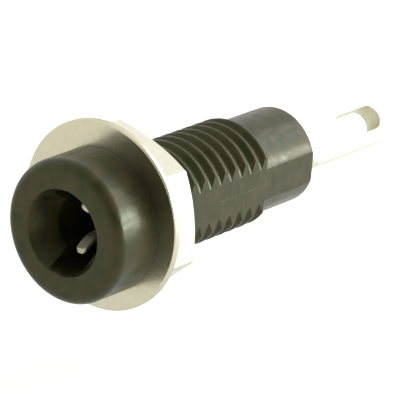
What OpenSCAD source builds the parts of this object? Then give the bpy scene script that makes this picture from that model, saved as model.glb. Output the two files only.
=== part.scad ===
// Panel tip jack: a moulded insulator with a spring contact, held in a panel by a washer and a hex nut.
// Millimetres. The axis runs along +Y, from the socket's mouth at the front to the solder lug at the rear.
// The origin is the centre of the head's rear face, which seats on the panel. +Z is up.

/* [Head] */
// Diameter of the round head
head_d = 8.1; // [7:0.05:10]
// Length of the head, from its front face to its panel seat
head_len = 3.05; // [2.6:0.05:5]
// Rounding of the head's front edge
head_round = 0.6; // [0.2:0.05:0.8]
// Rounding of the head's rear edge
head_back_round = 0.1; // [0.05:0.05:0.6]
// Diameter of the funnel's rim in the front face
funnel_d = 4.92; // [4.4:0.02:5.6]
// Depth of the funnel, where it meets the chamber
funnel_depth = 1.6; // [1:0.05:2.2]

/* [Shank] */
// Outside diameter of the thread
thread_d = 6.35; // [6:0.05:7.5]
// Pitch of the thread
thread_pitch = 0.907; // [0.7:0.001:1.2]
// Height of the thread from its root to its crest
thread_height = 0.325; // [0.25:0.005:0.35]
// Width of the flat on each crest
thread_crest = 0.2; // [0.08:0.01:0.25]
// Width of the flat in each groove
thread_root = 0.2; // [0.08:0.01:0.25]
// Turn of the thread about the axis
thread_turn = 85; // [0:1:359]
// Length of the thread, from the panel seat
thread_len = 11.3; // [8:0.05:14]
// Distance across the two flats that interrupt the thread
flats = 5.35; // [4.9:0.05:5.4]
// Turn of the flats about the axis, away from the leaves' slot
flat_turn = 6; // [0:0.5:15]
// Length of the plain neck behind the thread
neck_len = 4.4; // [2:0.05:6]
// Diameter of the neck, between its flats
neck_d = 5.65; // [5.45:0.05:5.8]
// How far the neck reaches into the end of the thread
neck_lead = 0.2; // [0.1:0.05:0.6]

/* [Chamber] */
// Diameter of the chamber behind the funnel
bore_d = 3.3; // [3:0.02:3.6]
// Thickness of the wall at the chamber's rear end
rear_wall = 2.1; // [1:0.1:3]
// Width of the slot that gives the leaves room
slot_w = 2; // [1.6:0.05:2.2]
// Height of that slot, from end to end
slot_h = 4.5; // [4:0.05:4.7]

/* [Contact] */
// Thickness of the strip at the bar and the lug
strip_t = 1.2; // [0.8:0.05:1.4]
// Clearance of the strip in the chamber
strip_clear = 0.02; // [0.01:0.005:0.1]
// Clearance of the strip in the slot through the rear wall
wall_clear = 0.03; // [0.02:0.01:0.1]
// Gap between the bar's front end and the rear wall
bar_lead = 0.6; // [0.3:0.1:1.5]
// Thickness of a leaf
leaf_t = 0.28; // [0.25:0.01:0.45]
// Width of a leaf at its tip
leaf_tip_w = 0.7; // [0.6:0.05:1.2]
// Clearance at each side of a leaf in the slot
leaf_side_clear = 0.15; // [0.05:0.01:0.3]
// Clearance behind a leaf in the slot
leaf_back_clear = 0.7; // [0.4:0.05:0.8]
// Radius of the hollow faces that grip the plug's pin
grip_r = 0.75; // [0.65:0.01:0.9]
// How far the hollow of a grip face goes into the leaf
grip_dish = 0.15; // [0.13:0.01:0.18]
// Length of the grip faces
grip_len = 2.6; // [1.5:0.1:4]
// Depth of the grip faces' front end, from the front face
grip_depth = 2.45; // [2.3:0.05:3.2]
// Depth of the lower leaf's tip, from the front face
low_tip_depth = 1.45; // [1.2:0.05:2]
// Distance of the lower leaf's tip from the axis
low_tip_r = 1.36; // [1.1:0.02:1.5]
// Depth of the upper leaf's tip, from the front face
up_tip_depth = 1.9; // [1.2:0.05:2]
// Distance of the upper leaf's tip from the axis
up_tip_r = 0.93; // [0.93:0.01:1.5]
// Length of each bend in a leaf, along the axis
leaf_bend = 1.4; // [1:0.1:2]

/* [Solder lug] */
// Distance from the rear wall to the lug's tip
lug_reach = 10.7; // [8:0.1:14]
// Start of the twist behind the rear wall
twist_gap = 0.1; // [0.05:0.01:0.4]
// Length of the twist that locks the contact
twist_len = 2.4; // [1.6:0.1:3]
// Angle of the twist
twist = 55.5; // [30:0.5:90]
// Width of the oblong eye
eye_w = 1.49; // [1:0.01:1.7]
// Length of the oblong eye
eye_len = 4.1; // [2.5:0.05:5]
// Metal between the eye and the lug's tip
eye_margin = 1.16; // [0.8:0.02:2]

/* [Washer] */
// Outside diameter of the washer
washer_d = 10.7; // [10:0.1:13]
// Thickness of the washer
washer_t = 0.38; // [0.25:0.01:0.6]
// Clearance of the washer's hole around the thread
washer_clear = 0.32; // [0.3:0.01:0.6]
// How far the loose washer rides above the axis
washer_lift = 0.24; // [0:0.01:0.26]
// Gap at each face of the washer
washer_gap = 0.02; // [0.01:0.01:0.1]

/* [Nut] */
// Width of the nut across its flats
nut_af = 8.73; // [8:0.01:10]
// Thickness of the nut
nut_t = 2.4; // [1.6:0.05:3]
// Chamfer angle at the nut's corners
nut_chamfer = 30; // [20:1:40]
// Narrowing of the nut's face below its width across the flats
nut_face_step = 0.1; // [0:0.02:0.3]
// Turn of the nut about the axis
nut_turn = 5.5; // [0:0.5:60]
// Radial clearance in the nut's thread
thread_clear = 0.15; // [0.1:0.01:0.18]

/* [Hidden] */
$fn = 96;
thread_sides = 24;
twist_steps = 12;
margin = 1;
thread_r = thread_d / 2;
root_r = thread_r - thread_height;
shank_end = thread_len + neck_len;
chamber_end = shank_end - rear_wall;
funnel_slope = (funnel_d - bore_d) / funnel_depth;
strip_w = sqrt(pow(bore_d - 2 * strip_clear, 2) - pow(strip_t, 2));
leaf_root_w = slot_w - 2 * leaf_side_clear;
leaf_run_r = slot_h / 2 - leaf_back_clear;
leaf_inset = 0.05;
bar_start = chamber_end - bar_lead;
twist_start = shank_end + twist_gap;
lug_end = shank_end + lug_reach;
washer_r = thread_r + washer_clear;
washer_y = washer_gap;
nut_y = washer_y + washer_t + washer_gap;

// Shapes are drawn along their own z axis, with y up, and then laid along the part's +Y axis.
module lay() {
    rotate([90, 0, 180]) children();
}

// A right-hand screw, longer than it is needed at both ends. One helical column of points per step,
// four points per pitch: both edges of the crest, then both edges of the groove.
module screw(crest_radius, root_radius, from, to) {
    flank = (thread_pitch - thread_crest - thread_root) / 2;
    profile = [
        [0, crest_radius],
        [thread_crest, crest_radius],
        [thread_crest + flank, root_radius],
        [thread_crest + flank + thread_root, root_radius]
    ];
    first = floor(from / thread_pitch) - 2;
    steps = (ceil(to / thread_pitch) + 1 - first) * thread_sides;
    helix = [
        for (k = [0 : steps]) for (p = profile) [
            p[1] * cos(360 * k / thread_sides),
            p[1] * sin(360 * k / thread_sides),
            (first + k / thread_sides) * thread_pitch + p[0]
        ]
    ];
    front = len(helix);
    rear = front + 1;
    ends = [[0, 0, helix[0][2]], [0, 0, helix[front - 1][2]]];
    low = concat([for (k = [0 : thread_sides]) 4 * k], [3, 2, 1]);
    high = concat(
        [for (k = [steps - thread_sides : steps]) 4 * k + 3],
        [for (q = [2 : -1 : 0]) 4 * steps + q]
    );
    strips = [
        for (k = [0 : steps - 1]) for (q = [0 : 2])
            each quad(4 * k + q, 4 * k + 4 + q, 4 * k + 5 + q, 4 * k + 1 + q)
    ];
    seams = [
        for (k = [0 : steps - thread_sides - 1])
            each quad(4 * k + 3, 4 * k + 7, 4 * (k + thread_sides) + 4, 4 * (k + thread_sides))
    ];
    caps = concat(
        [for (i = [0 : len(low) - 1]) [front, low[i], low[(i + 1) % len(low)]]],
        [for (i = [0 : len(high) - 1]) [rear, high[(i + 1) % len(high)], high[i]]]
    );
    intersection() {
        rotate([0, 0, thread_turn]) polyhedron(concat(helix, ends), concat(strips, seams, caps));
        translate([0, 0, from]) cylinder(r = crest_radius + margin, h = to - from);
    }
}

// Two triangles over four corners, in the order that faces outwards on the screw.
function quad(a, b, c, d) = [[a, c, b], [a, d, c]];

module insulator() {
    color("#2a2a22") lay() difference() {
        union() {
            head();
            screw(thread_r, root_r, -margin, thread_len);
            translate([0, 0, thread_len - neck_lead]) cylinder(d = neck_d, h = neck_len + neck_lead);
        }
        socket();
        rotate([0, 0, flat_turn]) for (side = [-1, 1])
            translate([side * (flats + thread_d) / 2, 0, (shank_end + margin) / 2])
                cube([thread_d, 2 * thread_d, shank_end + margin], center = true);
    }
}

// The head's half section, with its front and rear edges rounded.
module head() {
    front = head_d / 2 - head_round;
    back = head_d / 2 - head_back_round;
    rim = head_len - head_round - head_back_round;
    rotate_extrude() union() {
        translate([0, -head_len]) square([front, head_len - head_back_round]);
        translate([0, head_round - head_len]) square([head_d / 2, rim]);
        translate([0, head_round - head_len]) square([back, head_len - head_round]);
        translate([front, head_round - head_len]) circle(head_round);
        translate([back, -head_back_round]) circle(head_back_round);
    }
}

// All that is hollow in the insulator: funnel, chamber, leaf slot and the slot through the rear wall.
module socket() {
    translate([0, 0, -head_len - margin])
        cylinder(d1 = funnel_d + margin * funnel_slope, d2 = bore_d, h = funnel_depth + margin);
    translate([0, 0, -head_len]) cylinder(d = bore_d, h = head_len + chamber_end);
    intersection() {
        translate([0, 0, -head_len]) cylinder(d = slot_h, h = head_len + chamber_end);
        translate([0, 0, (chamber_end - head_len) / 2])
            cube([slot_w, 2 * slot_h, head_len + chamber_end + margin], center = true);
    }
    translate([0, 0, shank_end - rear_wall / 2])
        cube([strip_w + 2 * wall_clear, strip_t + 2 * wall_clear, rear_wall + margin], center = true);
}

module contact() {
    color("#d8d4c4") lay() union() {
        leaf(up_tip_depth, up_tip_r);
        mirror([0, 1, 0]) leaf(low_tip_depth, low_tip_r);
        difference() {
            twisted_bar();
            rotate([0, 0, twist]) rotate([90, 0, 0]) linear_extrude(2 * strip_w, center = true) lug_cuts();
        }
    }
}

// The strip from the chamber to the lug's tip, with one even twist behind the rear wall.
module twisted_bar() {
    stations = concat(
        [[bar_start, 0]],
        [for (k = [0 : twist_steps]) [twist_start + twist_len * k / twist_steps, twist * k / twist_steps]],
        [[lug_end, twist]]
    );
    corners = [[1, 1], [-1, 1], [-1, -1], [1, -1]];
    last = len(stations) - 1;
    points = [
        for (s = stations) for (c = corners) [
            (c[0] * strip_w * cos(s[1]) - c[1] * strip_t * sin(s[1])) / 2,
            (c[0] * strip_w * sin(s[1]) + c[1] * strip_t * cos(s[1])) / 2,
            s[0]
        ]
    ];
    sides = [
        for (k = [0 : last - 1]) for (c = [0 : 3])
            each quad(4 * k + c, 4 * k + 4 + c, 4 * k + 4 + (c + 1) % 4, 4 * k + (c + 1) % 4)
    ];
    polyhedron(points, concat(sides, [[0, 1, 2, 3], [for (c = [3 : -1 : 0]) 4 * last + c]]));
}

// One spring leaf on the upper side: a bent strip that narrows towards its tip, dished where it grips.
module leaf(tip_depth, tip_r) {
    tip = tip_depth - head_len;
    grip = grip_depth - head_len;
    flat_r = grip_r - grip_dish;
    run = grip + grip_len + leaf_bend;
    root = bar_start - leaf_bend;
    difference() {
        intersection() {
            rotate([0, -90, 0]) linear_extrude(leaf_root_w, center = true) polygon([
                [tip, tip_r - leaf_t / 2],
                [grip, flat_r],
                [grip + grip_len, flat_r],
                [run, leaf_run_r - leaf_t],
                [root, leaf_run_r - leaf_t],
                [bar_start, leaf_inset],
                [bar_start + leaf_t, leaf_inset],
                [bar_start + leaf_t, strip_t / 2 - leaf_inset],
                [bar_start, strip_t / 2 - leaf_inset],
                [root, leaf_run_r],
                [run, leaf_run_r],
                [grip + grip_len, flat_r + grip_dish + leaf_t],
                [grip, flat_r + grip_dish + leaf_t],
                [tip, tip_r + leaf_t / 2]
            ]);
            rotate([-90, 0, 0]) linear_extrude(slot_h) polygon([
                [-leaf_tip_w / 2, -tip],
                [leaf_tip_w / 2, -tip],
                [leaf_tip_w / 2, -grip - grip_len],
                [leaf_root_w / 2, -run],
                [leaf_root_w / 2, -bar_start - margin],
                [-leaf_root_w / 2, -bar_start - margin],
                [-leaf_root_w / 2, -run],
                [-leaf_tip_w / 2, -grip - grip_len]
            ]);
        }
        translate([0, 0, -head_len]) cylinder(r = grip_r, h = head_len + run);
    }
}

// What is cut from the end of the strip: the corners of its round tip, and the oblong eye.
module lug_cuts() {
    tip_r = strip_w / 2;
    eye_end = lug_end - eye_margin - eye_w / 2;
    eye_start = lug_end - eye_margin - eye_len + eye_w / 2;
    difference() {
        translate([-strip_w, lug_end - tip_r]) square([2 * strip_w, tip_r + margin]);
        translate([0, lug_end - tip_r]) circle(tip_r);
    }
    translate([0, eye_start]) circle(d = eye_w);
    translate([0, eye_end]) circle(d = eye_w);
    translate([-eye_w / 2, eye_start]) square([eye_w, eye_end - eye_start]);
}

module washer() {
    color("#c9c4ae") lay() translate([0, washer_lift, washer_y]) linear_extrude(washer_t) difference() {
        circle(d = washer_d);
        circle(washer_r);
    }
}

module nut() {
    color("#dcd9cc") lay() difference() {
        translate([0, 0, nut_y]) intersection() {
            rotate([0, 0, 30 - nut_turn]) cylinder(d = nut_af / cos(30), h = nut_t, $fn = 6);
            nut_blank();
        }
        screw(thread_r + thread_clear, root_r + thread_clear, nut_y - margin, nut_y + nut_t + margin);
    }
}

// The round blank that chamfers the hexagon's corners at both faces.
module nut_blank() {
    face_r = (nut_af - nut_face_step) / 2;
    corner_r = nut_af / 2 / cos(30) + margin;
    drop = (corner_r - face_r) * tan(nut_chamfer);
    rotate_extrude() polygon([
        [0, 0],
        [face_r, 0],
        [corner_r, drop],
        [corner_r, nut_t - drop],
        [face_r, nut_t],
        [0, nut_t]
    ]);
}

insulator();
contact();
washer();
nut();
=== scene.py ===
import math

import bmesh
import bpy
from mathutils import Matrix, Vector


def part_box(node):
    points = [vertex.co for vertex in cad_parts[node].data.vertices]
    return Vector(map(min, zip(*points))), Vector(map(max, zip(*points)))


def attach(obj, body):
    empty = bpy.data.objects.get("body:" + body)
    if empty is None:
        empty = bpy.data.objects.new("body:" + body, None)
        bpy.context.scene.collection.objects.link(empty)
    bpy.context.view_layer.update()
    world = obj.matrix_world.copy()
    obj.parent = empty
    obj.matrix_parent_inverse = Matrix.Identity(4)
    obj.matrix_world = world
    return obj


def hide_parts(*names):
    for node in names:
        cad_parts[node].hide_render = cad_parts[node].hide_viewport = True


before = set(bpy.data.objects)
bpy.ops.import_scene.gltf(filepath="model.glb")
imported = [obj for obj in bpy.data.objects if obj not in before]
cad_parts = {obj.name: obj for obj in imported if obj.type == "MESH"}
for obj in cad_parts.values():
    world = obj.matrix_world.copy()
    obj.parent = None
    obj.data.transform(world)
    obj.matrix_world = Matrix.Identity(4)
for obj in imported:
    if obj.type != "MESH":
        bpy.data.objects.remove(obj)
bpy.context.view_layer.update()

MM = 0.001

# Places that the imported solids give
insulator_low, insulator_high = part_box("insulator")
washer_low, washer_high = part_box("washer")
nut_low, nut_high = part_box("nut")
HEAD_R = insulator_high.x
FRONT = insulator_low.y
SHANK_END = insulator_high.y
LUG_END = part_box("contact")[1].y

# Head and socket. The seat is how far the rear face comes towards the washer, to close the dark gap there.
HEAD_ROUND = 0.6 * MM
HEAD_BACK_ROUND = 0.002 * MM
HEAD_SEAT = 0.018 * MM
FUNNEL_R = 2.46 * MM
FUNNEL_DEPTH = 1.6 * MM
FUNNEL_LIP = 0.06 * MM
LIP_LIFT = 0.0018 * MM
BORE_R = 1.65 * MM
REAR_WALL = 2.1 * MM
CHAMBER_END = SHANK_END - REAR_WALL
SLOT_W = 2 * MM
SLOT_R = 2.25 * MM

# Shank
THREAD_R = 3.175 * MM
ROOT_R = 2.85 * MM
PITCH = 0.907 * MM
THREAD_CREST = 0.2 * MM
THREAD_ROOT = 0.2 * MM
THREAD_SOFT = 0.14 * MM
THREAD_TURN = math.radians(85)
THREAD_LEN = 11.3 * MM
FLAT = 2.675 * MM
FLAT_TURN = math.radians(6)
NECK_R = 2.825 * MM
NECK_LEAD = 0.2 * MM
NECK_ROUND = 0.1 * MM
SEAM_W = 0.14 * MM
SEAM_H = 0.015 * MM
SEAM_START = 7 * MM
SEAM_END = 11.7 * MM

# Contact: the strip
STRIP_T = 1.2 * MM
STRIP_CLEAR = 0.02 * MM
STRIP_W = math.sqrt((2 * (BORE_R - STRIP_CLEAR)) ** 2 - STRIP_T ** 2)
STRIP_EDGE = 0.07 * MM
WALL_CLEAR = 0.03 * MM
BAR_START = CHAMBER_END - 0.6 * MM
TWIST_START = SHANK_END + 0.1 * MM
TWIST_LEN = 2.4 * MM
TWIST = math.radians(55.5)
LUG_TIP_FLAT = 0.1 * STRIP_W
EYE_W = 1.49 * MM
EYE_LEN = 4.1 * MM
EYE_MARGIN = 1.16 * MM
EYE_FLARE = 0.06 * MM

# Contact: the leaves. A tip is its place on the axis and its distance from the axis.
LEAF_T = 0.28 * MM
LEAF_EDGE = 0.07 * MM
LEAF_TIP_W = 0.7 * MM
LEAF_TIP_ROUND = 0.2 * MM
LEAF_ROOT_W = 1.7 * MM
LEAF_RUN_R = 1.55 * MM
LEAF_BEND = 1.4 * MM
LEAF_SOFT = 0.6 * MM
LEAF_INSET = 0.05 * MM
LEAF_END = BAR_START + LEAF_T
GRIP_R = 0.75 * MM
GRIP_DISH = 0.15 * MM
GRIP_START = FRONT + 2.45 * MM
GRIP_LEN = 2.6 * MM
GRIP_END = GRIP_START + GRIP_LEN
UPPER_TIP = (FRONT + 1.9 * MM, 0.93 * MM)
LOWER_TIP = (FRONT + 1.45 * MM, 1.36 * MM)
UPPER_TIP_LEAN = 0.35

# Washer and nut
WASHER_HOLE_R = 3.495 * MM
WASHER_EDGE = 0.1 * MM
WASHER_FLAT_R = 4.1 * MM
WASHER_CURL = 0.05 * MM
NUT_SIDES = 6
NUT_FLAT = 4.365 * MM
NUT_TURN = math.radians(5.5)
NUT_FACE_R = 4.315 * MM
NUT_CHAMFER = math.radians(30)
NUT_EDGE = 0.12 * MM
THREAD_CLEAR = 0.15 * MM

# Fineness of the meshes
ROUND = 128
TURN_STEPS = 72
TURNS_BEFORE = 2
TURNS_AFTER = 1
ARC_STEPS = 12
CORNER_STEPS = 4
THREAD_CORNER_STEPS = 3
STRIP_CORNER_STEPS = 2
TWIST_STEPS = 36
LUG_TIP_STEPS = 14
EYE_STEPS = 20
LEAF_STEPS = 90
CURL_STEPS = 5
SAME_PLACE = 0.00001 * MM
MARGIN = 1 * MM
SHARP_ANGLE = math.radians(32)

# All finishes. The noise of their patterns lies mostly between the two values.
NOISE_LOW = 0.3
NOISE_HIGH = 0.7
NOISE_DETAIL = 3
EDGE_SAMPLES = 8
PLAIN_IOR = 1.45
WHITE = (1, 1, 1)

# Black nylon. Its sheen tints what it mirrors.
NYLON = (0.018, 0.017, 0.006)
NYLON_DARK = (0.006, 0.01, 0.002)
NYLON_LIGHT = (0.029, 0.021, 0.009)
NYLON_SHEEN = (1, 0.99, 0.52)
NYLON_IOR = 1.42
NYLON_SMOOTH = 0.28
NYLON_ROUGH = 0.42
NYLON_EDGE = 0.012 * MM
CLOUD_SIZE = 0.9 * MM
STREAK_SIZE = 0.3 * MM
STREAK_STRETCH = (1, 5, 1)
WAVE_SIZE = 0.8 * MM
WAVE_HEIGHT = 0.012 * MM

# Plating on the metal pieces
# The washer's plate is darker and warmer than the nut's: partly its own plating, partly painted shade of
# the dim, warm surroundings that its face mirrors.
WASHER_PLATE_AND_PAINTED_SHADE = (0.59, 0.56, 0.42)
NUT_PLATE = (0.68, 0.67, 0.57)
CONTACT_PLATE = (0.69, 0.67, 0.51)
PLATE_SHEEN = (0.72, 0.7, 0.62)
PLATE_EDGE = 0.03 * MM
TARNISH_SIZE = 0.35 * MM
GLOSS_SIZE = 0.4 * MM
LINE_SIZE = 0.3 * MM
LINE_STRETCH = (1, 1, 3)
LINE_HEIGHT = 0.0005 * MM

# Floor, room, lights and camera
FLOOR_DROP = 9 * MM
FLOOR_HALF = 3.0
FLOOR = (0.92, 0.91, 0.85)
FLOOR_DARK = (0.91, 0.9, 0.84)
FLOOR_LIGHT = (0.93, 0.92, 0.86)
FLOOR_CLOUD = 40 * MM
FLOOR_ROUGH = 0.9
ROOM = (1, 1, 0.98)
ROOM_STRENGTH = 1.2
ROOM_DIM_STRENGTH = 0.35
ROOM_DIM_AZIMUTH = -45
ROOM_DIM_ELEVATION = 12
ROOM_DIM_ALL_WITHIN = math.radians(15)
ROOM_DIM_NONE_BEYOND = math.radians(75)
COOL = (0.76, 0.8, 1)
LOOK_AT = Vector((0.45, 8.16, -0.83)) * MM
CAMERA_AZIMUTH = 38.63
CAMERA_ELEVATION = 17.7
CAMERA_DISTANCE = 168 * MM
CAMERA_NEAR = 10 * MM
SENSOR = 36
LENS = 270


# Mesh helpers

def solid(name, points, faces):
    """A closed mesh with its faces turned outwards, as an object at the origin."""
    mesh = bpy.data.meshes.new(name)
    mesh.from_pydata(points, [], faces)
    work = bmesh.new()
    work.from_mesh(mesh)
    bmesh.ops.recalc_face_normals(work, faces=work.faces)
    work.to_mesh(mesh)
    work.free()
    piece = bpy.data.objects.new(name, mesh)
    bpy.context.scene.collection.objects.link(piece)
    return piece


def distinct(points):
    """The same line of points, without those that repeat the one before."""
    repeats = [math.dist(a, b) < SAME_PLACE for a, b in zip(points, points[1:])]
    return points[:1] + [p for p, repeat in zip(points[1:], repeats) if not repeat]


def rounded(points, reach, closed=False, steps=CORNER_STEPS):
    """The same line of 2-D points, with each corner drawn as a curve that starts reach away from it."""
    corners = [Vector(p) for p in points]
    out = []
    for k, corner in enumerate(corners):
        if not closed and k in (0, len(corners) - 1):
            out.append(tuple(corner))
            continue
        before = corners[k - 1] - corner
        after = corners[(k + 1) % len(corners)] - corner
        start = corner + before.normalized() * min(reach, before.length / 2)
        end = corner + after.normalized() * min(reach, after.length / 2)
        for step in range(steps + 1):
            t = step / steps
            out.append(tuple(start * (1 - t) ** 2 + corner * 2 * t * (1 - t) + end * t ** 2))
    return distinct(out)


def arc(centre, radius, start, end, steps=ARC_STEPS):
    """2-D points on an arc, with the angles in degrees."""
    angles = [math.radians(start + (end - start) * k / steps) for k in range(steps + 1)]
    return [(centre[0] + radius * math.cos(a), centre[1] + radius * math.sin(a)) for a in angles]


def revolve(name, section, lift=0):
    """A solid turned about the axis. Its (radius, y) section runs from axis to axis, or is a closed ring.
    A point on the axis is a ring of one, so the faces around it are triangles."""
    points = []
    rings = []
    for radius, y in section:
        count = ROUND if radius > 0 else 1
        rings.append(range(len(points), len(points) + count))
        for k in range(count):
            a = 2 * math.pi * k / ROUND
            points.append((radius * math.cos(a), y, radius * math.sin(a) + lift))
    pairs = list(zip(rings, rings[1:]))
    if section[0][0] > 0:
        pairs.append((rings[-1], rings[0]))
    faces = []
    for near, far in pairs:
        for k in range(ROUND):
            near_side = [near[k % len(near)], near[(k + 1) % len(near)]]
            far_side = [far[(k + 1) % len(far)], far[k % len(far)]]
            faces.append(list(dict.fromkeys(near_side + far_side)))
    return solid(name, points, faces)


def loft(name, rings):
    """A solid through rings that each have the same number of 3-D points, closed at both ends."""
    count = len(rings[0])
    points = [p for ring in rings for p in ring]
    faces = [list(range(count)), list(range(len(points) - count, len(points)))]
    for k in range(len(rings) - 1):
        for q in range(count):
            r = (q + 1) % count
            faces.append([k * count + q, k * count + r, (k + 1) * count + r, (k + 1) * count + q])
    return solid(name, points, faces)


def prism(name, outline, start, end):
    """A solid with an (x, z) outline, between two places on the axis."""
    return loft(name, [[(x, y, z) for x, z in outline] for y in (start, end)])


def turned(outline, angle):
    """An (x, z) outline turned about the axis, by the right-hand rule about +Y."""
    c, s = math.cos(angle), math.sin(angle)
    return [(x * c + z * s, z * c - x * s) for x, z in outline]


def apply_modifiers(piece):
    """Makes what a piece's modifiers show its own mesh."""
    bpy.context.view_layer.update()
    result = piece.evaluated_get(bpy.context.evaluated_depsgraph_get())
    mesh = bpy.data.meshes.new_from_object(result)
    piece.modifiers.clear()
    piece.data = mesh


def combine(target, tool, operation):
    """Unites one solid with another, cuts it or trims it. The other one is used up."""
    change = target.modifiers.new(operation, "BOOLEAN")
    change.operation = operation
    change.solver = "MANIFOLD"
    change.object = tool
    apply_modifiers(target)
    bpy.data.objects.remove(tool)


def weld(piece):
    """Joins points that share a place, which the cuts leave here and there."""
    work = bmesh.new()
    work.from_mesh(piece.data)
    bmesh.ops.remove_doubles(work, verts=work.verts, dist=SAME_PLACE)
    work.to_mesh(piece.data)
    work.free()


def settle(piece, body, node, finish):
    """Smooths a finished piece, gives it its finish and puts it in its node's place."""
    weld(piece)
    piece.data.shade_smooth()
    piece.data.set_sharp_from_angle(angle=SHARP_ANGLE)
    weigh = piece.modifiers.new("weigh", "WEIGHTED_NORMAL")
    weigh.keep_sharp = True
    apply_modifiers(piece)
    piece.data.materials.clear()
    piece.data.materials.append(finish)
    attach(piece, body)
    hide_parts(node)


# The thread

def thread_section(crest_r, root_r):
    """(place along the axis, radius) over one pitch, with soft crests and grooves."""
    flank = (PITCH - THREAD_CREST - THREAD_ROOT) / 2
    corners = [
        (0, crest_r),
        (THREAD_CREST, crest_r),
        (THREAD_CREST + flank, root_r),
        (THREAD_CREST + flank + THREAD_ROOT, root_r),
    ]
    before = (corners[-1][0] - PITCH, root_r)
    after = (PITCH, crest_r)
    return rounded([before] + corners + [after], THREAD_SOFT, steps=THREAD_CORNER_STEPS)[1:-1]


def screw_points(section, first_turn, steps):
    """The section's points at each step of the helix."""
    points = []
    for k in range(steps + 1):
        a = 2 * math.pi * k / TURN_STEPS + THREAD_TURN
        for along, radius in section:
            y = (first_turn + k / TURN_STEPS) * PITCH + along
            points.append((-radius * math.cos(a), y, radius * math.sin(a)))
    return points


def screw_faces(count, steps):
    """Faces along each section, and from each section's end to the start of the one a turn later."""
    faces = []
    for k in range(steps):
        for q in range(k * count, (k + 1) * count - 1):
            faces.append([q, q + 1, q + count + 1, q + count])
    for k in range(steps - TURN_STEPS):
        last = (k + 1) * count - 1
        over = (k + TURN_STEPS) * count
        faces.append([last, over, over + count, last + count])
    return faces


def screw_rims(count, steps):
    """The open lines at both ends: once around the axis, then back along one section."""
    low = [k * count for k in range(TURN_STEPS + 1)]
    low += list(range(count - 1, 0, -1))
    high = [(k + 1) * count - 1 for k in range(steps - TURN_STEPS, steps + 1)]
    high += list(range((steps + 1) * count - 2, steps * count - 1, -1))
    return low, high


def screw(name, crest_r, root_r, start, end):
    """A right-hand screw between two places on the axis, made longer and then cut square at both."""
    section = thread_section(crest_r, root_r)
    count = len(section)
    first_turn = math.floor(start / PITCH) - TURNS_BEFORE
    steps = (math.ceil(end / PITCH) + TURNS_AFTER - first_turn) * TURN_STEPS
    points = screw_points(section, first_turn, steps)
    faces = screw_faces(count, steps)
    for rim in screw_rims(count, steps):
        middle = len(points)
        points.append((0, points[rim[0]][1], 0))
        faces += [[middle, a, b] for a, b in zip(rim, rim[1:] + rim[:1])]
    piece = solid(name, points, faces)
    reach = crest_r + MARGIN
    combine(piece, revolve("trim", [(0, start), (reach, start), (reach, end), (0, end)]), "INTERSECT")
    return piece


# Insulator: head, thread, neck and everything that is hollow in them

def head():
    """The head, with a round front edge."""
    outline = [(0, FRONT)]
    outline += arc((HEAD_R - HEAD_ROUND, FRONT + HEAD_ROUND), HEAD_ROUND, -90, 0)
    outline += arc((HEAD_R - HEAD_BACK_ROUND, HEAD_SEAT - HEAD_BACK_ROUND), HEAD_BACK_ROUND, 0, 90)
    outline += [(0, HEAD_SEAT)]
    return revolve("insulator_moulding", outline)


def neck():
    """The plain neck behind the thread, with a round rear edge."""
    start = THREAD_LEN - NECK_LEAD
    wall = [(NECK_R, start), (NECK_R, SHANK_END), (0, SHANK_END)]
    return revolve("neck", [(0, start)] + rounded(wall, NECK_ROUND))


def cut_flats(piece):
    """Two flats along the shank, each with a faint parting line."""
    beyond = 2 * THREAD_R
    block = [(FLAT, -beyond), (beyond, -beyond), (beyond, beyond), (FLAT, beyond)]
    ridge = [(FLAT - SEAM_H, -SEAM_W / 2), (FLAT + SEAM_H, 0), (FLAT - SEAM_H, SEAM_W / 2)]
    for side in (0, math.pi):
        turn = FLAT_TURN + side
        combine(piece, prism("flat", turned(block, turn), HEAD_SEAT, SHANK_END + MARGIN), "DIFFERENCE")
        combine(piece, prism("seam", turned(ridge, turn), SEAM_START, SEAM_END), "UNION")


def funnel():
    """What is cut for the funnel mouth and the chamber behind it."""
    wide = FUNNEL_R + MARGIN
    mouth = [(0, FRONT - MARGIN), (wide, FRONT - MARGIN)]
    wall = [
        (wide, FRONT - LIP_LIFT),
        (FUNNEL_R, FRONT),
        (BORE_R, FRONT + FUNNEL_DEPTH),
        (BORE_R, CHAMBER_END),
    ]
    return revolve("mouth", mouth + rounded(wall, FUNNEL_LIP) + [(0, CHAMBER_END)])


def leaf_slot():
    """What is cut above and below the chamber, as room for the leaves."""
    edge = math.degrees(math.asin(SLOT_W / 2 / SLOT_R))
    upper = arc((0, 0), SLOT_R, 90 - edge, 90 + edge)
    lower = arc((0, 0), SLOT_R, 270 - edge, 270 + edge)
    return prism("leaf_slot", upper + lower, FRONT - MARGIN, CHAMBER_END)


def strip_slot():
    """What is cut through the rear wall for the strip."""
    half_w = STRIP_W / 2 + WALL_CLEAR
    half_t = STRIP_T / 2 + WALL_CLEAR
    way = [(half_w, -half_t), (half_w, half_t), (-half_w, half_t), (-half_w, -half_t)]
    return prism("strip_slot", way, CHAMBER_END - MARGIN, SHANK_END + MARGIN)


def insulator():
    """The whole moulding in one piece."""
    piece = head()
    combine(piece, screw("thread", THREAD_R, ROOT_R, -MARGIN, THREAD_LEN), "UNION")
    combine(piece, neck(), "UNION")
    cut_flats(piece)
    for hollow in (funnel(), leaf_slot(), strip_slot()):
        combine(piece, hollow, "DIFFERENCE")
    return piece


# Contact: two spring leaves on a bar, which is twisted behind the insulator and ends in the lug

def strip_ring(y, half_w, angle):
    """The strip's outline at one place on the axis, with broken edges, turned about the axis."""
    half_t = STRIP_T / 2
    edge = min(STRIP_EDGE, half_w / 2)
    corners = [(half_w, half_t), (-half_w, half_t), (-half_w, -half_t), (half_w, -half_t)]
    outline = rounded(corners, edge, closed=True, steps=STRIP_CORNER_STEPS)
    c, s = math.cos(angle), math.sin(angle)
    return [(b * s - a * c, y, a * s + b * c) for a, b in outline]


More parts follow.
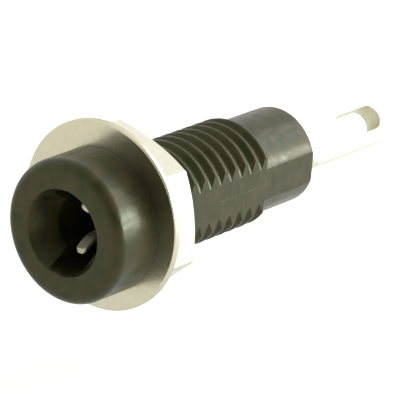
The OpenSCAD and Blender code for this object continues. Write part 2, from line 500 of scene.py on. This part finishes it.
def bar():
    """The strip from the leaves' roots to the round end of the lug."""
    half_w = STRIP_W / 2
    rings = [strip_ring(BAR_START, half_w, 0)]
    for k in range(TWIST_STEPS + 1):
        t = k / TWIST_STEPS
        rings.append(strip_ring(TWIST_START + TWIST_LEN * t, half_w, TWIST * t))
    for k in range(LUG_TIP_STEPS):
        a = math.pi / 2 * k / LUG_TIP_STEPS
        rings.append(strip_ring(LUG_END - half_w + half_w * math.sin(a), half_w * math.cos(a), TWIST))
    rings.append(strip_ring(LUG_END, LUG_TIP_FLAT / 2, TWIST))
    return loft("contact_strip", rings)


def eye():
    """What is cut for the oblong eye, a little wider at both faces of the lug."""
    end = LUG_END - EYE_MARGIN - EYE_W / 2
    start = LUG_END - EYE_MARGIN - EYE_LEN + EYE_W / 2
    across = (-math.cos(TWIST), math.sin(TWIST))
    through = (math.sin(TWIST), math.cos(TWIST))
    face = STRIP_T / 2
    near_side = [(-face - MARGIN, EYE_FLARE), (-face, EYE_FLARE), (EYE_FLARE - face, 0)]
    far_side = [(-depth, flare) for depth, flare in reversed(near_side)]
    rings = []
    for depth, flare in near_side + far_side:
        radius = EYE_W / 2 + flare
        outline = arc((0, end), radius, 0, 180, EYE_STEPS) + arc((0, start), radius, 180, 360, EYE_STEPS)
        ring = []
        for a, y in outline:
            ring.append((a * across[0] + depth * through[0], y, a * across[1] + depth * through[1]))
        rings.append(ring)
    return loft("eye", rings)


def value_at(line, place):
    """The value that a line of (place, value) points has at one place."""
    for (near, low), (far, high) in zip(line, line[1:]):
        if place <= far:
            return low + (high - low) * (place - near) / (far - near)
    return line[-1][1]


def leaf_lines(tip):
    """A leaf's inner and outer distances from the axis and its width, as soft lines along the axis."""
    tip_y, tip_r = tip
    run_start = GRIP_END + LEAF_BEND
    run_end = BAR_START - LEAF_BEND
    places = (tip_y, GRIP_START, GRIP_END, run_start, run_end, BAR_START, LEAF_END)
    grip_in, grip_out = GRIP_R - GRIP_DISH, GRIP_R + LEAF_T
    run_in, run_out = LEAF_RUN_R - LEAF_T, LEAF_RUN_R
    root_in, root_out = LEAF_INSET, STRIP_T / 2 - LEAF_INSET
    inner = (tip_r - LEAF_T / 2, grip_in, grip_in, run_in, run_in, root_in, root_in)
    outer = (tip_r + LEAF_T / 2, grip_out, grip_out, run_out, run_out, root_out, root_out)
    width = (LEAF_TIP_W,) * 3 + (LEAF_ROOT_W,) * 4
    return [rounded(list(zip(places, line)), LEAF_SOFT) for line in (inner, outer, width)]


def leaf_ring(y, low, high, half, lean, side):
    """A leaf's outline at one place on the axis: low and high are its distances from the axis."""
    e = LEAF_EDGE
    right = [(half, low + e), (half, high - e), (half - e, high)]
    left = [(e - half, high), (-half, high - e), (-half, low + e)]
    under = [(e - half, low), (half - e, low)]
    return [(x, y, side * (r - lean * x)) for x, r in right + left + under]


def leaf(tip, side, lean):
    """One spring leaf with soft bends and a round tip. Side is 1 above the axis and -1 below it.
    Lean is the slope of its tip, which fades out where the grip starts."""
    tip_y = tip[0]
    inner, outer, width = leaf_lines(tip)
    rings = []
    for k in range(LEAF_STEPS + 1):
        # The rings lie closer together towards the tip
        past_tip = (LEAF_END - tip_y) * (k / LEAF_STEPS) ** 2
        y = tip_y + past_tip
        corner = max(LEAF_TIP_ROUND - past_tip, 0)
        half = value_at(width, y) / 2 - LEAF_TIP_ROUND + math.sqrt(LEAF_TIP_ROUND ** 2 - corner ** 2)
        lean_here = lean * max(1 - past_tip / (GRIP_START - tip_y), 0)
        rings.append(leaf_ring(y, value_at(inner, y), value_at(outer, y), half, lean_here, side))
    return loft("leaf", rings)


def contact():
    """The whole contact in one piece, with leaves that are dished where they grip."""
    piece = bar()
    combine(piece, eye(), "DIFFERENCE")
    dish_end = GRIP_END + LEAF_BEND
    for tip, side, lean in ((UPPER_TIP, 1, UPPER_TIP_LEAN), (LOWER_TIP, -1, 0)):
        blade = leaf(tip, side, lean)
        pin = [(0, FRONT), (GRIP_R, FRONT), (GRIP_R, dish_end), (0, dish_end)]
        combine(blade, revolve("pin", pin), "DIFFERENCE")
        combine(piece, blade, "UNION")
    return piece


# Washer and nut

def washer():
    """A thin disc whose rim curls a little towards the head."""
    outer = (washer_high.x - washer_low.x) / 2
    lift = (washer_high.z + washer_low.z) / 2
    front, back = washer_low.y, washer_high.y
    curve = []
    for k in range(CURL_STEPS + 1):
        t = k / CURL_STEPS
        curve.append((WASHER_FLAT_R + (outer - WASHER_FLAT_R) * t, WASHER_CURL * t ** 2))
    section = [(WASHER_HOLE_R, front)] + [(r, front - curl) for r, curl in curve]
    section += [(r, back - curl) for r, curl in reversed(curve)] + [(WASHER_HOLE_R, back)]
    return revolve("washer_disc", rounded(section, WASHER_EDGE, closed=True), lift)


def nut():
    """A hex nut with its corners turned down on both faces, and a thread that clears the shank's."""
    front, back = nut_low.y, nut_high.y
    corner_r = NUT_FLAT / math.cos(math.pi / NUT_SIDES)
    corners = []
    for k in range(NUT_SIDES):
        a = NUT_TURN + (2 * k + 1) * math.pi / NUT_SIDES
        corners.append((corner_r * math.cos(a), corner_r * math.sin(a)))
    piece = prism("hex_nut", rounded(corners, NUT_EDGE, closed=True), front, back)
    wide = corner_r + MARGIN
    drop = (wide - NUT_FACE_R) * math.tan(NUT_CHAMFER)
    blank = [(0, front), (NUT_FACE_R, front), (wide, front + drop)]
    blank += [(wide, back - drop), (NUT_FACE_R, back), (0, back)]
    combine(piece, revolve("blank", rounded(blank, NUT_EDGE)), "INTERSECT")
    cut = screw("nut_thread", THREAD_R + THREAD_CLEAR, ROOT_R + THREAD_CLEAR, front - MARGIN, back + MARGIN)
    combine(piece, cut, "DIFFERENCE")
    return piece


# Finishes

def material(name, base, metallic=0, ior=PLAIN_IOR, sheen=WHITE):
    """A new finish with its shader, and the part's own coordinates for its patterns.
    Sheen tints what it mirrors: on metal only at a low gaze."""
    finish = bpy.data.materials.new(name)
    finish.use_nodes = True
    nodes = finish.node_tree.nodes
    shader = nodes["Principled BSDF"]
    shader.inputs["Base Color"].default_value = (*base, 1)
    shader.inputs["Metallic"].default_value = metallic
    shader.inputs["Specular Tint"].default_value = (*sheen, 1)
    shader.inputs["IOR"].default_value = ior
    place = nodes.new("ShaderNodeTexCoord")
    return finish, shader, place.outputs["Object"]


def pattern(finish, place, size, stretch=(1, 1, 1)):
    """Soft noise whose features are about size across, drawn out along an axis by stretch."""
    nodes, links = finish.node_tree.nodes, finish.node_tree.links
    mapping = nodes.new("ShaderNodeMapping")
    mapping.inputs["Scale"].default_value = tuple(1 / (size * s) for s in stretch)
    noise = nodes.new("ShaderNodeTexNoise")
    noise.inputs["Scale"].default_value = 1
    noise.inputs["Detail"].default_value = NOISE_DETAIL
    links.new(place, mapping.inputs["Vector"])
    links.new(mapping.outputs["Vector"], noise.inputs["Vector"])
    return noise.outputs["Fac"]


def spread(finish, source, low, high, socket):
    """Leads a pattern to a socket, as values from low to high."""
    ranged = finish.node_tree.nodes.new("ShaderNodeMapRange")
    ranged.inputs["From Min"].default_value = NOISE_LOW
    ranged.inputs["From Max"].default_value = NOISE_HIGH
    ranged.inputs["To Min"].default_value = low
    ranged.inputs["To Max"].default_value = high
    finish.node_tree.links.new(source, ranged.inputs["Value"])
    finish.node_tree.links.new(ranged.outputs["Result"], socket)


def tint(finish, source, low, high, socket):
    """Leads a pattern to a colour socket, between two colours."""
    ramp = finish.node_tree.nodes.new("ShaderNodeValToRGB")
    ramp.color_ramp.elements[0].position = NOISE_LOW
    ramp.color_ramp.elements[0].color = (*low, 1)
    ramp.color_ramp.elements[1].position = NOISE_HIGH
    ramp.color_ramp.elements[1].color = (*high, 1)
    finish.node_tree.links.new(source, ramp.inputs["Fac"])
    finish.node_tree.links.new(ramp.outputs["Color"], socket)


def relief(finish, source, height, edge, socket):
    """Leads a pattern to a normal socket as a height, and shades sharp edges round by a small radius."""
    nodes, links = finish.node_tree.nodes, finish.node_tree.links
    bump = nodes.new("ShaderNodeBump")
    bump.inputs["Distance"].default_value = height
    spread(finish, source, 0, 1, bump.inputs["Height"])
    soft = nodes.new("ShaderNodeBevel")
    soft.samples = EDGE_SAMPLES
    soft.inputs["Radius"].default_value = edge
    links.new(soft.outputs["Normal"], bump.inputs["Normal"])
    links.new(bump.outputs["Normal"], socket)


def moulded_nylon():
    """Black nylon with an olive cast: faint clouds of colour, streaks of gloss and low waves."""
    finish, shader, place = material("moulded_nylon", NYLON, ior=NYLON_IOR, sheen=NYLON_SHEEN)
    clouds = pattern(finish, place, CLOUD_SIZE)
    tint(finish, clouds, NYLON_DARK, NYLON_LIGHT, shader.inputs["Base Color"])
    streaks = pattern(finish, place, STREAK_SIZE, STREAK_STRETCH)
    spread(finish, streaks, NYLON_SMOOTH, NYLON_ROUGH, shader.inputs["Roughness"])
    waves = pattern(finish, place, WAVE_SIZE)
    relief(finish, waves, WAVE_HEIGHT, NYLON_EDGE, shader.inputs["Normal"])
    return finish


def plated(name, base, tarnish, smooth, rough):
    """Bright plating: clouds of tarnish that dull its colour, a varied gloss and faint tool lines."""
    finish, shader, place = material(name, base, metallic=1, sheen=PLATE_SHEEN)
    dull = tuple(c * tarnish for c in base)
    tint(finish, pattern(finish, place, TARNISH_SIZE), dull, base, shader.inputs["Base Color"])
    spread(finish, pattern(finish, place, GLOSS_SIZE), smooth, rough, shader.inputs["Roughness"])
    lines = pattern(finish, place, LINE_SIZE, LINE_STRETCH)
    relief(finish, lines, LINE_HEIGHT, PLATE_EDGE, shader.inputs["Normal"])
    return finish


# Stage: a pale floor close below the part, a pale room that is dimmer near the camera, and soft lights

def direction(azimuth, elevation):
    """A unit vector. Both angles are in degrees, the azimuth from +X towards +Y."""
    a, e = math.radians(azimuth), math.radians(elevation)
    return Vector((math.cos(a) * math.cos(e), math.sin(a) * math.cos(e), math.sin(e)))


def floor():
    """A wide pale sheet with faint clouds."""
    finish, shader, place = material("pale_floor", FLOOR)
    tint(finish, pattern(finish, place, FLOOR_CLOUD), FLOOR_DARK, FLOOR_LIGHT, shader.inputs["Base Color"])
    shader.inputs["Roughness"].default_value = FLOOR_ROUGH
    corners = []
    for x, y in ((-1, -1), (1, -1), (1, 1), (-1, 1)):
        corners.append((x * FLOOR_HALF, y * FLOOR_HALF, -FLOOR_DROP))
    mesh = bpy.data.meshes.new("floor")
    mesh.from_pydata(corners, [], [[0, 1, 2, 3]])
    mesh.materials.append(finish)
    sheet = bpy.data.objects.new("floor", mesh)
    bpy.context.scene.collection.objects.link(sheet)


def surroundings():
    """An even pale room, which fades to a dimmer strength around one direction."""
    world = bpy.data.worlds.new("studio")
    world.use_nodes = True
    nodes, links = world.node_tree.nodes, world.node_tree.links
    background = nodes["Background"]
    background.inputs["Color"].default_value = (*ROOM, 1)
    place = nodes.new("ShaderNodeTexCoord")
    facing = nodes.new("ShaderNodeVectorMath")
    facing.operation = "DOT_PRODUCT"
    facing.inputs[1].default_value = direction(ROOM_DIM_AZIMUTH, ROOM_DIM_ELEVATION)
    fade = nodes.new("ShaderNodeMapRange")
    fade.interpolation_type = "SMOOTHSTEP"
    fade.inputs["From Min"].default_value = math.cos(ROOM_DIM_NONE_BEYOND)
    fade.inputs["From Max"].default_value = math.cos(ROOM_DIM_ALL_WITHIN)
    fade.inputs["To Min"].default_value = ROOM_STRENGTH
    fade.inputs["To Max"].default_value = ROOM_DIM_STRENGTH
    links.new(place.outputs["Generated"], facing.inputs[0])
    links.new(facing.outputs["Value"], fade.inputs["Value"])
    links.new(fade.outputs["Result"], background.inputs["Strength"])
    bpy.context.scene.world = world


def softbox(name, azimuth, elevation, distance, width, height, radiance, colour):
    """A rectangular light that faces the part."""
    light = bpy.data.lights.new(name, "AREA")
    light.shape = "RECTANGLE"
    light.size = width
    light.size_y = height
    light.energy = radiance * math.pi * width * height
    light.color = colour
    lamp = bpy.data.objects.new(name, light)
    towards = direction(azimuth, elevation)
    lamp.location = LOOK_AT + towards * distance
    lamp.rotation_euler = towards.to_track_quat("Z", "Y").to_euler()
    bpy.context.scene.collection.objects.link(lamp)


def lights():
    """A strong low strip from the right, a weaker box above it and a faint one behind."""
    softbox("strip", azimuth=30, elevation=9, distance=200 * MM, width=165 * MM, height=60 * MM,
            radiance=25, colour=COOL)
    softbox("upper", azimuth=62, elevation=32, distance=120 * MM, width=90 * MM, height=60 * MM,
            radiance=3.7, colour=COOL)
    softbox("rear", azimuth=105, elevation=42, distance=130 * MM, width=90 * MM, height=70 * MM,
            radiance=0.2, colour=WHITE)


def camera():
    """The photo's angle: from the front, on the right of the axis and above it."""
    gaze = direction(90 + CAMERA_AZIMUTH, -CAMERA_ELEVATION)
    lens = bpy.data.cameras.new("camera")
    lens.sensor_width = SENSOR
    lens.lens = LENS
    lens.clip_start = CAMERA_NEAR
    shot = bpy.data.objects.new("camera", lens)
    shot.location = LOOK_AT - gaze * CAMERA_DISTANCE
    shot.rotation_euler = gaze.to_track_quat("-Z", "Y").to_euler()
    bpy.context.scene.collection.objects.link(shot)
    bpy.context.scene.camera = shot


# The dressed part
nylon = moulded_nylon()
# The washer's darker, warmer plate is partly its own plating and partly painted shade of what its face
# mirrors.
warm_nickel_and_painted_shade = plated("warm_nickel_and_painted_shade", WASHER_PLATE_AND_PAINTED_SHADE, tarnish=0.92, smooth=0.18, rough=0.26)
bright_nickel = plated("bright_nickel", NUT_PLATE, tarnish=0.93, smooth=0.08, rough=0.16)
bright_tin = plated("bright_tin", CONTACT_PLATE, tarnish=0.86, smooth=0.5, rough=0.65)
settle(insulator(), "jack", "insulator", nylon)
settle(contact(), "jack", "contact", bright_tin)
settle(washer(), "washer", "washer", warm_nickel_and_painted_shade)
settle(nut(), "nut", "nut", bright_nickel)

# The picture
floor()
surroundings()
lights()
camera()
bpy.context.scene.view_settings.view_transform = "Standard"
